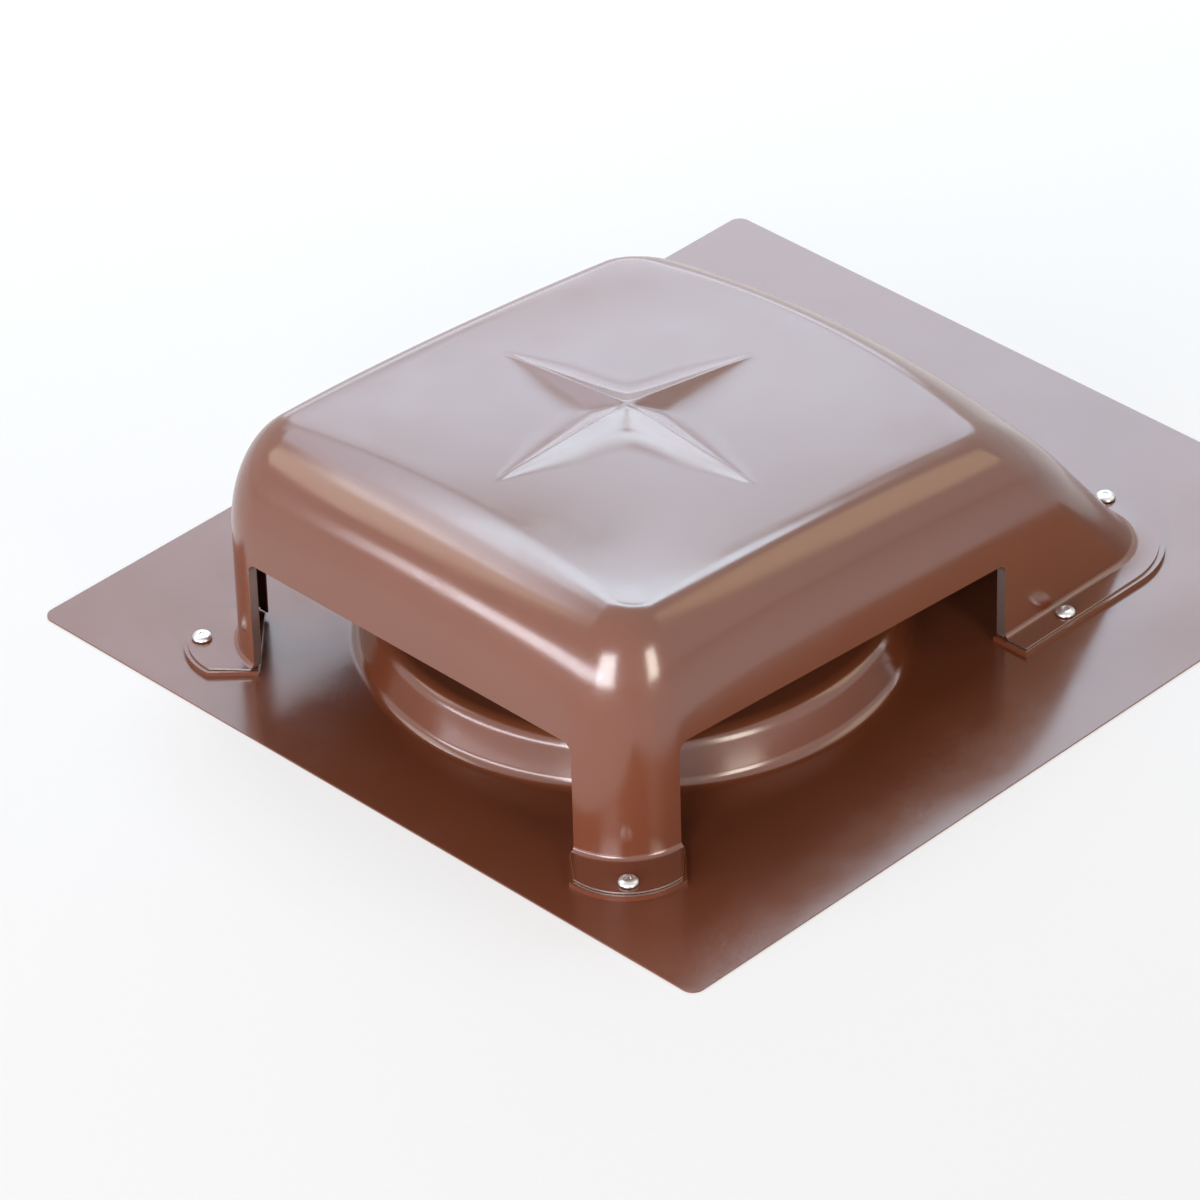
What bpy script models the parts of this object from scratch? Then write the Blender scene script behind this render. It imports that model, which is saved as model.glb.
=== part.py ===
"""Static roof vent of the slant-back kind, painted sheet metal.

A flat flashing carries a round drawn collar with the air throat in it. A deep-drawn hood stands
over the collar on two front legs, open at the front and at both sides, and slants down to the
flashing at the back. An insect screen closes the throat from below, and rivets hold it all.

Frame: +Z up, +Y up the roof, so the open front faces -Y. The origin is the centre of the
flashing's underside. Lengths are in metres.
"""

import math

import bmesh
import bpy
from mathutils import Matrix, Vector

MM = 0.001
CLEARANCE = 0.3 * MM

# Flashing: the flat sheet that the shingles lap, with the collar and the hood's seats in it.
FLANGE_WIDTH = 406 * MM
FLANGE_LENGTH = 457 * MM
FLANGE_CORNER_RADIUS = 6 * MM
FLANGE_APRON = 34 * MM
FLASHING_SHEET = 0.8 * MM
SEAT_RISE = 2.2 * MM
SEAT_MARGIN = 2 * MM

# Collar and throat, drawn up out of the flashing as one round step.
THROAT_RADIUS = 101.6 * MM
THROAT_SETBACK = 141 * MM
PLATEAU_WIDTH = 19.4 * MM
COLLAR_HEIGHT = 22.5 * MM
COLLAR_FOOT_RADIUS = 3 * MM
COLLAR_SHOULDER_RADIUS = 5 * MM

# Hood: its skirt, its sloping top and its slant back. Heights are above the flashing's top.
HOOD_WIDTH = 262 * MM
HOOD_DEPTH = 350 * MM
HOOD_HEIGHT = 126.5 * MM
HOOD_SHEET = 0.8 * MM
FRONT_CORNER_RADIUS = 36 * MM
BACK_CORNER_RADIUS = 29 * MM
TOP_FALL = 0.081
CROWN_ACROSS = 4.5 * MM
CROWN_ALONG = 2.7 * MM
SLANT_DEGREES = 52.3
SIDE_ROLL = 18 * MM
FRONT_ROLL = 32 * MM
FRONT_ROLL_BOW = 8 * MM
BACK_ROLL = 17 * MM
BACK_BOW = 12 * MM
ROLL_DROP = 31 * MM
PANEL_CORNER_RADIUS = 6 * MM

# Star pressed up in the middle of the top, which stiffens it.
STAR_ARM_ACROSS = 76 * MM
STAR_ARM_ALONG = 80 * MM
STAR_WAIST = 13.4 * MM
STAR_TIP_WIDTH = 1.6 * MM
STAR_HEIGHT = 7 * MM
STAR_SETBACK = 139 * MM

# Openings between the legs, each edged with a narrow lip that is folded inwards.
FRONT_OPENING_WIDTH = 199 * MM
FRONT_OPENING_HEIGHT = 59.5 * MM
SIDE_OPENING_START = 34 * MM
SIDE_OPENING_END = 242 * MM
SIDE_OPENING_FALL = 0.068
OPENING_CORNER_RADIUS = 5 * MM
LIP_DEPTH = 5 * MM

# Turned-out foot of the hood: a tongue at each front leg and a flange round the back.
FOOT_BEND_RADIUS = 2.5 * MM
FOOT_REACH = 23 * MM
FOOT_END_RADIUS = 31 * MM
BACK_FLANGE_REACH = 12.5 * MM
TRIM_OVERLAP = 2 * MM

# Rivets that hold the hood to the flashing.
RIVET_SHANK_RADIUS = 2.4 * MM
RIVET_HEAD_RADIUS = 4.6 * MM
RIVET_HEAD_HEIGHT = 2.6 * MM
RIVET_TAIL_RADIUS = 4 * MM
RIVET_TAIL_HEIGHT = 1.2 * MM
FOOT_RIVET_INSET = 6.5 * MM
BACK_RIVET_COUNT = 3
BACK_RIVET_SPACING = 92 * MM
SIDE_RIVET_SETBACK = 274 * MM

# Insect screen under the collar's plateau, with its own small rivets.
SCREEN_OVERLAP = 11.4 * MM
SCREEN_THICKNESS = 1 * MM
SCREEN_PITCH = 17 * MM
SCREEN_BAR = 2.2 * MM
SCREEN_BORDER = 1.6 * MM
SCREEN_RIVET_COUNT = 4
SCREEN_RIVET_SHANK_RADIUS = 1.6 * MM
SCREEN_RIVET_HEAD_RADIUS = 3 * MM
SCREEN_RIVET_HEAD_HEIGHT = 1.4 * MM
SCREEN_RIVET_TAIL_HEIGHT = 0.9 * MM

# Steps along the curves.
CORNER_STEPS = 10
STRAIGHT_STEPS = 4
PANEL_STEPS = 3
ROLL_STEPS = 7
BEND_STEPS = 3
RING_POINTS = 4 * (CORNER_STEPS + 2 * STRAIGHT_STEPS)
RIVET_STEPS = 12
RIVET_TURN = 90 / RIVET_STEPS

# Places that follow from the sizes above.
HOOD_FRONT = -FLANGE_LENGTH / 2 + FLANGE_APRON
SIDE_FACE = HOOD_WIDTH / 2
THROAT_Y = HOOD_FRONT + THROAT_SETBACK
STAR_Y = HOOD_FRONT + STAR_SETBACK
COLLAR_TOP = FLASHING_SHEET + COLLAR_HEIGHT
SEAT_TOP = FLASHING_SHEET + SEAT_RISE
FOOT_UNDERSIDE = SEAT_TOP + CLEARANCE
FOOT_TOP = FOOT_UNDERSIDE + HOOD_SHEET
SLANT = math.tan(math.radians(SLANT_DEGREES))
LEG_CENTRE_X = SIDE_FACE - FRONT_CORNER_RADIUS
LEG_CENTRE_Y = HOOD_FRONT + FRONT_CORNER_RADIUS
COLLAR_RADIUS = THROAT_RADIUS + PLATEAU_WIDTH
SCREEN_RADIUS = THROAT_RADIUS + SCREEN_OVERLAP
SCREEN_RIVET_CIRCLE = THROAT_RADIUS + SCREEN_OVERLAP / 2
SCREEN_TOP = COLLAR_TOP - FLASHING_SHEET - CLEARANCE
SCREEN_UNDERSIDE = SCREEN_TOP - SCREEN_THICKNESS


def clear_scene():
    for item in list(bpy.data.objects):
        bpy.data.objects.remove(item, do_unlink=True)


def finish(name, colour, metallic, roughness):
    """A plain shader with the sub-part's colour."""
    made = bpy.data.materials.new(name)
    made.use_nodes = True
    shader = made.node_tree.nodes["Principled BSDF"]
    shader.inputs["Base Color"].default_value = (*colour, 1)
    shader.inputs["Metallic"].default_value = metallic
    shader.inputs["Roughness"].default_value = roughness
    return made


def add_object(name, bm, material=None):
    """Closes the mesh's normals outwards and puts it in the scene."""
    bmesh.ops.recalc_face_normals(bm, faces=bm.faces)
    mesh = bpy.data.meshes.new(name)
    bm.to_mesh(mesh)
    bm.free()
    made = bpy.data.objects.new(name, mesh)
    bpy.context.scene.collection.objects.link(made)
    if material:
        mesh.materials.append(material)
        mesh.shade_smooth()
        mesh.set_sharp_from_angle(angle=math.radians(35))
    return made


def add_boolean(target, tool, operation):
    """Joins or cuts the target with a helper, which stays out of the model itself."""
    tool.hide_render = True
    tool.display_type = "WIRE"
    modifier = target.modifiers.new(f"{operation.lower()} {tool.name}", "BOOLEAN")
    modifier.operation = operation
    modifier.solver = "EXACT"
    modifier.object = tool


def add_prism(name, outline, start, end, direction="Z"):
    """A straight prism from a flat outline, between two places along an axis."""
    places = {
        "X": lambda point, depth: Vector((depth, point[0], point[1])),
        "Y": lambda point, depth: Vector((point[0], depth, point[1])),
        "Z": lambda point, depth: Vector((point[0], point[1], depth)),
    }
    place = places[direction]
    bm = bmesh.new()
    near = bm.faces.new([bm.verts.new(place(point, start)) for point in outline])
    extruded = bmesh.ops.extrude_face_region(bm, geom=[near], use_keep_orig=True)["geom"]
    far = [item for item in extruded if isinstance(item, bmesh.types.BMVert)]
    shift = place((0, 0), end) - place((0, 0), start)
    bmesh.ops.translate(bm, verts=far, vec=shift)
    return add_object(name, bm)


def arc(centre, radius, start, end, steps):
    """Points on an arc, angles in degrees, both ends included."""
    angles = [math.radians(start + (end - start) * i / steps) for i in range(steps + 1)]
    return [(centre[0] + radius * math.cos(a), centre[1] + radius * math.sin(a)) for a in angles]


def between(start, end, steps):
    """Evenly spaced points from start towards end, without the end itself."""
    first, last = Vector(start), Vector(end)
    return [tuple(first.lerp(last, i / steps)) for i in range(steps)]


def plan_ring(half_width, front, back, front_radius, back_radius, middle):
    """A rounded rectangle in plan, anticlockwise from the middle of the right-hand side.

    Every ring has the same number of points, so one ring can be skinned to the next.
    """
    ring = []
    for turn in range(4):
        across = 1 if turn in (0, 3) else -1
        end, radius = (back, back_radius) if turn < 2 else (front, front_radius)
        inwards = -radius if turn < 2 else radius
        centre = (across * (half_width - radius), end + inwards)
        corner = arc(centre, radius, 90 * turn, 90 * turn + 90, CORNER_STEPS)
        side, crown = (across * half_width, middle), (0, end)
        start, stop = (side, crown) if turn % 2 == 0 else (crown, side)
        ring += between(start, corner[0], STRAIGHT_STEPS)
        ring += corner
        ring += between(corner[-1], stop, STRAIGHT_STEPS)[1:]
    return ring


def circle_ring(centre_y, radius):
    return arc((0, centre_y), radius, 0, 360, RING_POINTS)[:-1]


def star_ring():
    """The star's outline: four tapering arms with a smooth hollow between each pair."""
    ring = []
    steps = RING_POINTS // 8
    waist = Vector((STAR_WAIST, STAR_WAIST))
    hollow = Vector((1, -1)) * STAR_WAIST * 0.8
    for turn in range(4):
        right = 1 if turn in (0, 3) else -1
        rear = 1 if turn < 2 else -1
        halves = []
        for length, along_x in ((STAR_ARM_ACROSS, True), (STAR_ARM_ALONG, False)):
            tip = Vector((length, STAR_TIP_WIDTH / 2))
            half = [(length + STAR_TIP_WIDTH / 2, 0)]
            for i in range(steps):
                t = i / (steps - 1)
                point = tip * (1 - t) ** 2 + (waist + hollow) * 2 * t * (1 - t) + waist * t**2
                half.append((point.x, point.y))
            halves.append(half if along_x else [(y, x) for x, y in half])
        quarter = halves[0] + halves[1][-2:0:-1]
        if turn % 2:
            quarter = halves[1] + halves[0][-2:0:-1]
        ring += [(right * x, STAR_Y + rear * y) for x, y in quarter]
    return ring


def top_plane(y, sheet):
    """Height of the plane under the hood's crown, which falls to the back."""
    return FLASHING_SHEET + HOOD_HEIGHT - TOP_FALL * (y - HOOD_FRONT) - sheet


def top_height(x, y, sheet):
    """Height of the hood's slightly crowned top. The sheet is 0 on the outside."""
    across = min(1.1, abs(x) / (SIDE_FACE - SIDE_ROLL))
    along = min(1.1, abs(y - STAR_Y) / (STAR_SETBACK - FRONT_ROLL))
    return top_plane(y, sheet) - CROWN_ACROSS * across**2 - CROWN_ALONG * along**2


def slant_back(height, sheet):
    """How far back the slanted wall stands at this height."""
    foot = HOOD_FRONT + HOOD_DEPTH - sheet / math.sin(math.radians(SLANT_DEGREES))
    return foot - (height - FLASHING_SHEET) / SLANT


def roll_ring(sheet, angle):
    """A ring of the roll between top and walls: 0 degrees is its upper edge, 90 its lower."""
    turned = math.radians(angle)
    inset = 1 - math.sin(turned)
    drop = (ROLL_DROP - sheet) * (1 - math.cos(turned))
    wall = slant_back(top_plane(HOOD_FRONT, sheet) - drop, sheet)
    wall = HOOD_FRONT + (wall - HOOD_FRONT) / (1 - TOP_FALL / SLANT)
    half_width = SIDE_FACE - sheet - (SIDE_ROLL - sheet) * inset
    front = HOOD_FRONT + sheet + (FRONT_ROLL - sheet) * inset
    back = wall - (BACK_ROLL - sheet) * inset
    radii = [
        (1 - inset) * (corner - sheet) + inset * PANEL_CORNER_RADIUS
        for corner in (FRONT_CORNER_RADIUS, BACK_CORNER_RADIUS)
    ]
    ring = []
    for x, y in plan_ring(half_width, front, back, *radii, STAR_Y):
        middling = 1 - (x / half_width) ** 2
        forward = max(0, (STAR_Y - y) / (STAR_Y - front))
        backward = max(0, (y - STAR_Y) / (back - STAR_Y))
        y += (FRONT_ROLL_BOW * inset * forward + BACK_BOW * backward) * middling
        ring.append(Vector((x, y, top_height(x, y, sheet) - drop)))
    return ring


def foot_ring(sheet, angle):
    """A ring of the bend at the foot: 0 degrees is where the wall ends, 90 where it lies flat."""
    turned = math.radians(angle)
    bend = FOOT_BEND_RADIUS + sheet
    height = FOOT_TOP + FOOT_BEND_RADIUS - bend * math.sin(turned)
    outwards = bend * (1 - math.cos(turned)) - sheet
    start = FOOT_TOP + FOOT_BEND_RADIUS
    back = slant_back(start, 0) + outwards + (start - height) / SLANT
    ring = plan_ring(
        SIDE_FACE + outwards,
        HOOD_FRONT - outwards,
        back,
        FRONT_CORNER_RADIUS + outwards,
        BACK_CORNER_RADIUS + outwards,
        STAR_Y,
    )
    return [Vector((x, y, height)) for x, y in ring]


def flange_ring(height):
    """The rim of the turned-out foot, before it is trimmed to the tongues and the back flange."""
    reach = FOOT_REACH + FOOT_BEND_RADIUS
    back = slant_back(FOOT_TOP, 0) + reach
    radii = (FRONT_CORNER_RADIUS + reach, BACK_CORNER_RADIUS + reach)
    ring = plan_ring(SIDE_FACE + reach, HOOD_FRONT - reach, back, *radii, STAR_Y)
    return [Vector((x, y, height)) for x, y in ring]


def skin(bm, lower, upper):
    """Quads between two rings of points."""
    for i in range(len(lower)):
        after = (i + 1) % len(lower)
        bm.faces.new((lower[i], lower[after], upper[after], upper[i]))


def hood_skin(bm, sheet):
    """One face of the hood's sheet, from the star's peak out to the rim of the foot."""
    peak = bm.verts.new((0, STAR_Y, top_height(0, STAR_Y, sheet) + STAR_HEIGHT))
    star, panel = star_ring(), roll_ring(sheet, 0)
    outlines = []
    for i in range(PANEL_STEPS):
        mixed = [Vector(a).lerp(b.xy, i / PANEL_STEPS) for a, b in zip(star, panel)]
        outlines.append([Vector((x, y, top_height(x, y, sheet))) for x, y in mixed])
    outlines += [roll_ring(sheet, 90 * i / ROLL_STEPS) for i in range(ROLL_STEPS + 1)]
    outlines += [foot_ring(sheet, 90 * i / BEND_STEPS) for i in range(BEND_STEPS + 1)]
    outlines.append(flange_ring(FOOT_UNDERSIDE if sheet else FOOT_TOP))
    rings = [[bm.verts.new(point) for point in outline] for outline in outlines]
    for i in range(RING_POINTS):
        bm.faces.new((peak, rings[0][i], rings[0][(i + 1) % RING_POINTS]))
    for upper, lower in zip(rings, rings[1:]):
        skin(bm, lower, upper)
    return rings[-1]


def opening_outline(start, end, top_start, top_end, bottom, grow):
    """An upright opening: straight sides, and a top edge with rounded corners.

    Grow moves the sides and the top outwards, which gives the outline of the lip.
    """
    low, high = start - grow, end + grow
    fall = (top_end - top_start) / (end - start)
    radius = OPENING_CORNER_RADIUS + grow
    level = top_start + grow + fall * (low + radius - start)
    left = (low + radius, level - radius)
    level = top_start + grow + fall * (high - radius - start)
    right = (high - radius, level - radius)
    outline = [(low, bottom)]
    outline += arc(left, radius, 180, 90, 5)
    outline += arc(right, radius, 90, 0, 5)
    outline.append((high, bottom))
    return outline


def front_opening(bottom, grow=0):
    half = FRONT_OPENING_WIDTH / 2
    top = FLASHING_SHEET + FRONT_OPENING_HEIGHT
    return opening_outline(-half, half, top, top, bottom, grow)


def side_opening(bottom, grow=0):
    top = FLASHING_SHEET + FRONT_OPENING_HEIGHT
    return opening_outline(
        HOOD_FRONT + SIDE_OPENING_START,
        HOOD_FRONT + SIDE_OPENING_END,
        top - SIDE_OPENING_FALL * SIDE_OPENING_START,
        top - SIDE_OPENING_FALL * SIDE_OPENING_END,
        bottom,
        grow,
    )


def diagonal(across, along):
    """A plan point in the right leg's own directions: out from its corner, and across that."""
    x = LEG_CENTRE_X + (along + across) * math.sqrt(0.5)
    y = LEG_CENTRE_Y + (across - along) * math.sqrt(0.5)
    return (x, y)


def leg_edges():
    """Where the leg's two upright edges stand, as (across, along) of the leg's diagonal."""
    side = (SIDE_FACE - LEG_CENTRE_X, HOOD_FRONT + SIDE_OPENING_START - LEG_CENTRE_Y)
    front = (FRONT_OPENING_WIDTH / 2 - LEG_CENTRE_X, HOOD_FRONT - LEG_CENTRE_Y)
    turned = [((x + y) * math.sqrt(0.5), (x - y) * math.sqrt(0.5)) for x, y in (front, side)]
    return turned


def tongue(margin):
    """Plan outline of the right leg's tongue: sides along the diagonal, and a round end."""
    (low, low_along), (high, high_along) = leg_edges()
    low, high = low - margin, high + margin
    middle, half = (low + high) / 2, (high - low) / 2
    radius = FOOT_END_RADIUS + margin
    reach = FRONT_CORNER_RADIUS + FOOT_REACH + margin
    spread = math.degrees(math.asin(half / radius))
    centre = (middle, reach - radius)
    end = arc(centre, radius, 90 - spread, 90 + spread, 8)
    return [(low, low_along - margin), (high, high_along - margin), *end]


def tongue_outline(margin, side=1):
    points = [diagonal(across, along) for across, along in tongue(margin)]
    return [(side * x, y) for x, y in points]


def foot_trim():
    """Plan outline of all that is kept of the hood: its walls, two tongues and the back flange.

    Its ends reach a little into the openings, whose own cuts then square them off.
    """
    points = tongue(0)
    right = [diagonal(across, along) for across, along in points[2:]]
    leg_side = HOOD_FRONT + SIDE_OPENING_START + TRIM_OVERLAP
    right = [(SIDE_FACE + CLEARANCE, leg_side)] + right
    right += [(FRONT_OPENING_WIDTH / 2 - TRIM_OVERLAP, HOOD_FRONT - CLEARANCE)]
    reach = BACK_FLANGE_REACH
    edge = SIDE_FACE + reach
    back = slant_back(FOOT_TOP, 0) + reach
    radius = BACK_CORNER_RADIUS + reach + TRIM_OVERLAP
    start = HOOD_FRONT + SIDE_OPENING_END - TRIM_OVERLAP
    corner = arc((edge - radius, back - radius), radius, 90, 0, CORNER_STEPS - 1)
    half = corner + [(edge, start), (SIDE_FACE + CLEARANCE, start)] + right
    return half + [(-x, y) for x, y in reversed(half)]


def back_seat(margin):
    """Plan outline of the U-shaped seat that the hood's back flange stands on."""
    reach = BACK_FLANGE_REACH + margin
    inner = HOOD_SHEET + LIP_DEPTH / 2 + margin
    start = HOOD_FRONT + SIDE_OPENING_END - margin
    foot = slant_back(FOOT_TOP, 0)
    outer_radius = BACK_CORNER_RADIUS + reach
    inner_radius = BACK_CORNER_RADIUS - inner
    outer_edge, outer_back = SIDE_FACE + reach, foot + reach
    inner_edge, inner_back = SIDE_FACE - inner, foot - inner
    outer_centre = (outer_edge - outer_radius, outer_back - outer_radius)
    inner_centre = (inner_edge - inner_radius, inner_back - inner_radius)
    half = [(inner_edge, start), (outer_edge, start)]
    half += arc(outer_centre, outer_radius, 0, 90, CORNER_STEPS)
    inside = arc(inner_centre, inner_radius, 90, 0, CORNER_STEPS)
    mirrored_outside = [(-x, y) for x, y in reversed(half[1:])]
    mirrored_inside = [(-x, y) for x, y in reversed(inside)]
    return half + mirrored_outside + [(-inner_edge, start)] + mirrored_inside + inside


def foot_rivet_places():
    """Rivet centres of the two front tongues, near their round ends."""
    (low, _), (high, _) = leg_edges()
    x, y = diagonal((low + high) / 2, FRONT_CORNER_RADIUS + FOOT_REACH - FOOT_RIVET_INSET)
    return {"foot_rivet_left": (-x, y), "foot_rivet_right": (x, y)}


def back_rivet_places():
    """Rivet centres of the flange at the back and of its two forward arms."""
    middle = FOOT_BEND_RADIUS + (BACK_FLANGE_REACH - FOOT_BEND_RADIUS) / 2
    y = slant_back(FOOT_TOP, 0) + middle
    first = -(BACK_RIVET_COUNT - 1) / 2
    places = {
        f"back_rivet_{i + 1}": ((first + i) * BACK_RIVET_SPACING, y)
        for i in range(BACK_RIVET_COUNT)
    }
    side_y = HOOD_FRONT + SIDE_RIVET_SETBACK
    places["side_rivet_left"] = (-SIDE_FACE - middle, side_y)
    places["side_rivet_right"] = (SIDE_FACE + middle, side_y)
    return places


def screen_rivet_places():
    """Rivet centres of the screen, evenly round the throat and clear of the four axes."""
    places = {}
    for i in range(SCREEN_RIVET_COUNT):
        turned = 2 * math.pi * (i + 0.5) / SCREEN_RIVET_COUNT
        x = SCREEN_RIVET_CIRCLE * math.cos(turned)
        y = THROAT_Y + SCREEN_RIVET_CIRCLE * math.sin(turned)
        places[f"screen_rivet_{i + 1}"] = (x, y)
    return places


def hole_ring(centre, radius):
    """A rivet hole's outline, turned a little so that no point falls on an edge of the sheets."""
    return arc(centre, radius + CLEARANCE, RIVET_TURN, RIVET_TURN + 360, RIVET_STEPS)[:-1]


def drill(target, places, radius, low, high):
    """Clearance holes for rivets."""
    for name, centre in places.items():
        hole = add_prism(f"hole {target.name} {name}", hole_ring(centre, radius), low, high)
        add_boolean(target, hole, "DIFFERENCE")


def build_flashing(material):
    """One sheet: flat flange, drawn collar with its plateau and throat, and raised seats."""
    bm = bmesh.new()
    edge = plan_ring(
        FLANGE_WIDTH / 2,
        -FLANGE_LENGTH / 2,
        FLANGE_LENGTH / 2,
        FLANGE_CORNER_RADIUS,
        FLANGE_CORNER_RADIUS,
        THROAT_Y,
    )
    faces_of_sheet = []
    for sheet in (0, FLASHING_SHEET):
        foot, shoulder = COLLAR_FOOT_RADIUS + sheet, COLLAR_SHOULDER_RADIUS - sheet
        wall = COLLAR_RADIUS - sheet
        profile = arc((wall + foot, FLASHING_SHEET - sheet + foot), foot, 270, 180, 4)
        profile += arc((wall - shoulder, COLLAR_TOP - sheet - shoulder), shoulder, 0, 90, 5)
        profile.append((THROAT_RADIUS, COLLAR_TOP - sheet))
        outlines = [[Vector((x, y, FLASHING_SHEET - sheet)) for x, y in edge]]
        for radius, height in profile:
            outlines.append([Vector((x, y, height)) for x, y in circle_ring(THROAT_Y, radius)])
        faces_of_sheet.append([[bm.verts.new(point) for point in line] for line in outlines])
        for outer, inner in zip(faces_of_sheet[-1], faces_of_sheet[-1][1:]):
            skin(bm, outer, inner)
    upper, lower = faces_of_sheet
    skin(bm, upper[0], lower[0])
    skin(bm, upper[-1], lower[-1])
    flashing = add_object("base_flashing", bm, material)

    below = -FLASHING_SHEET
    inside = SEAT_MARGIN - FLASHING_SHEET
    for name, outside_outline, inside_outline in (
        ("left seat", tongue_outline(SEAT_MARGIN, -1), tongue_outline(inside, -1)),
        ("right seat", tongue_outline(SEAT_MARGIN), tongue_outline(inside)),
        ("back seat", back_seat(SEAT_MARGIN), back_seat(inside)),
    ):
        raised = add_prism(name, outside_outline, FLASHING_SHEET / 2, SEAT_TOP)
        add_boolean(flashing, raised, "UNION")
        hollow = add_prism(f"{name} hollow", inside_outline, below, SEAT_RISE)
        add_boolean(flashing, hollow, "DIFFERENCE")
    hood_rivets = {**foot_rivet_places(), **back_rivet_places()}
    drill(flashing, hood_rivets, RIVET_SHANK_RADIUS, below, SEAT_TOP + FLASHING_SHEET)
    low, high = SCREEN_UNDERSIDE, COLLAR_TOP + FLASHING_SHEET
    drill(flashing, screen_rivet_places(), SCREEN_RIVET_SHANK_RADIUS, low, high)
    return flashing


def build_hood(material):
    """One drawn sheet: star, sloping top, rolled edges, skirt, legs, slant back and foot."""
    bm = bmesh.new()
    outside = hood_skin(bm, 0)
    inside = hood_skin(bm, HOOD_SHEET)
    skin(bm, outside, inside)
    hood = add_object("hood", bm, material)

    above = FLASHING_SHEET + HOOD_HEIGHT + STAR_HEIGHT + LIP_DEPTH
    add_boolean(hood, add_prism("foot trim", foot_trim(), 0, above), "INTERSECT")

    buried = HOOD_SHEET / 2
    lip_foot = FOOT_UNDERSIDE + buried
    lip = add_prism(
        "front lip",
        front_opening(lip_foot, HOOD_SHEET),
        HOOD_FRONT + buried,
        HOOD_FRONT + LIP_DEPTH,
        "Y",
    )
    add_boolean(hood, lip, "UNION")
    for side, name in ((-1, "left"), (1, "right")):
        lip = add_prism(
            f"{name} lip",
            side_opening(lip_foot, HOOD_SHEET),
            side * (SIDE_FACE - LIP_DEPTH),
            side * (SIDE_FACE - buried),
            "X",
        )
        add_boolean(hood, lip, "UNION")

    reach = 2 * FOOT_REACH
    front_cut = add_prism(
        "front opening",
        front_opening(0),
        HOOD_FRONT - reach,
        HOOD_FRONT + 2 * LIP_DEPTH,
        "Y",
    )
    add_boolean(hood, front_cut, "DIFFERENCE")
    for side, name in ((-1, "left"), (1, "right")):
        side_cut = add_prism(
            f"{name} opening",
            side_opening(0),
            side * (SIDE_FACE - 2 * LIP_DEPTH),
            side * (SIDE_FACE + reach),
            "X",
        )
        add_boolean(hood, side_cut, "DIFFERENCE")
    hood_rivets = {**foot_rivet_places(), **back_rivet_places()}
    drill(hood, hood_rivets, RIVET_SHANK_RADIUS, SEAT_TOP, FOOT_TOP + HOOD_SHEET)
    return hood


def build_screen(material):
    """A disc under the plateau: a solid border round a square grid of gaps."""
    bm = bmesh.new()
    rim = circle_ring(THROAT_Y, SCREEN_RADIUS)
    outlines = [rim]
    half_gap = (SCREEN_PITCH - SCREEN_BAR) / 2
    clear = THROAT_RADIUS - SCREEN_BORDER
    count = math.ceil(clear / SCREEN_PITCH)
    for column in range(-count, count):
        for row in range(-count, count):
            x, y = (column + 0.5) * SCREEN_PITCH, (row + 0.5) * SCREEN_PITCH
            if math.hypot(abs(x) + half_gap, abs(y) + half_gap) > clear:
                continue
            corners = ((-1, -1), (1, -1), (1, 1), (-1, 1))
            gap = [(x + a * half_gap, THROAT_Y + y + b * half_gap) for a, b in corners]
            outlines.append(gap)
    for centre in screen_rivet_places().values():
        outlines.append(hole_ring(centre, SCREEN_RIVET_SHANK_RADIUS))
    levels = []
    for height in (SCREEN_TOP, SCREEN_UNDERSIDE):
        loops = [[bm.verts.new((x, y, height)) for x, y in outline] for outline in outlines]
        edges = [bm.edges.new((a, b)) for loop in loops for a, b in zip(loop, loop[1:] + loop[:1])]
        bmesh.ops.triangle_fill(bm, use_beauty=True, use_dissolve=False, edges=edges)
        levels.append(loops)
    for upper, lower in zip(*levels):
        skin(bm, lower, upper)
    return add_object("insect_screen", bm, material)


def rivet_mesh(shank, head, head_height, tail, tail_height, grip_low, grip_high):
    """A turned blind rivet: domed head with the mandrel's dimple, shank and upset tail."""
    dimple, rim = shank * 0.45, head_height * 0.25
    crown = grip_high + head_height
    profile = [
        (0, crown - head_height * 0.35),
        (dimple, crown - head_height * 0.35),
        (dimple, crown),
        (head * 0.62, crown - head_height * 0.16),
        (head * 0.92, grip_high + head_height * 0.5),
        (head, grip_high + rim),
        (head, grip_high),
        (shank, grip_high),
        (shank, grip_low),
        (tail, grip_low),
        (tail * 0.85, grip_low - tail_height),
        (0, grip_low - tail_height),
    ]
    turned = math.radians(RIVET_TURN)
    across, along = math.cos(turned), math.sin(turned)
    bm = bmesh.new()
    points = [bm.verts.new((radius * across, radius * along, z)) for radius, z in profile]
    edges = [bm.edges.new(pair) for pair in zip(points, points[1:])]
    bmesh.ops.spin(
        bm,
        geom=points + edges,
        cent=(0, 0, 0),
        axis=(0, 0, 1),
        angle=2 * math.pi,
        steps=RIVET_STEPS,
        use_merge=True,
    )
    bmesh.ops.remove_doubles(bm, verts=bm.verts, dist=0.01 * MM)
    bmesh.ops.recalc_face_normals(bm, faces=bm.faces)
    mesh = bpy.data.meshes.new("rivet")
    bm.to_mesh(mesh)
    bm.free()
    mesh.shade_smooth()
    mesh.set_sharp_from_angle(angle=math.radians(35))
    return mesh


def place_rivets(mesh, places, material):
    mesh.materials.append(material)
    for name, (x, y) in places.items():
        rivet = bpy.data.objects.new(name, mesh)
        rivet.location = (x, y, 0)
        bpy.context.scene.collection.objects.link(rivet)


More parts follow.
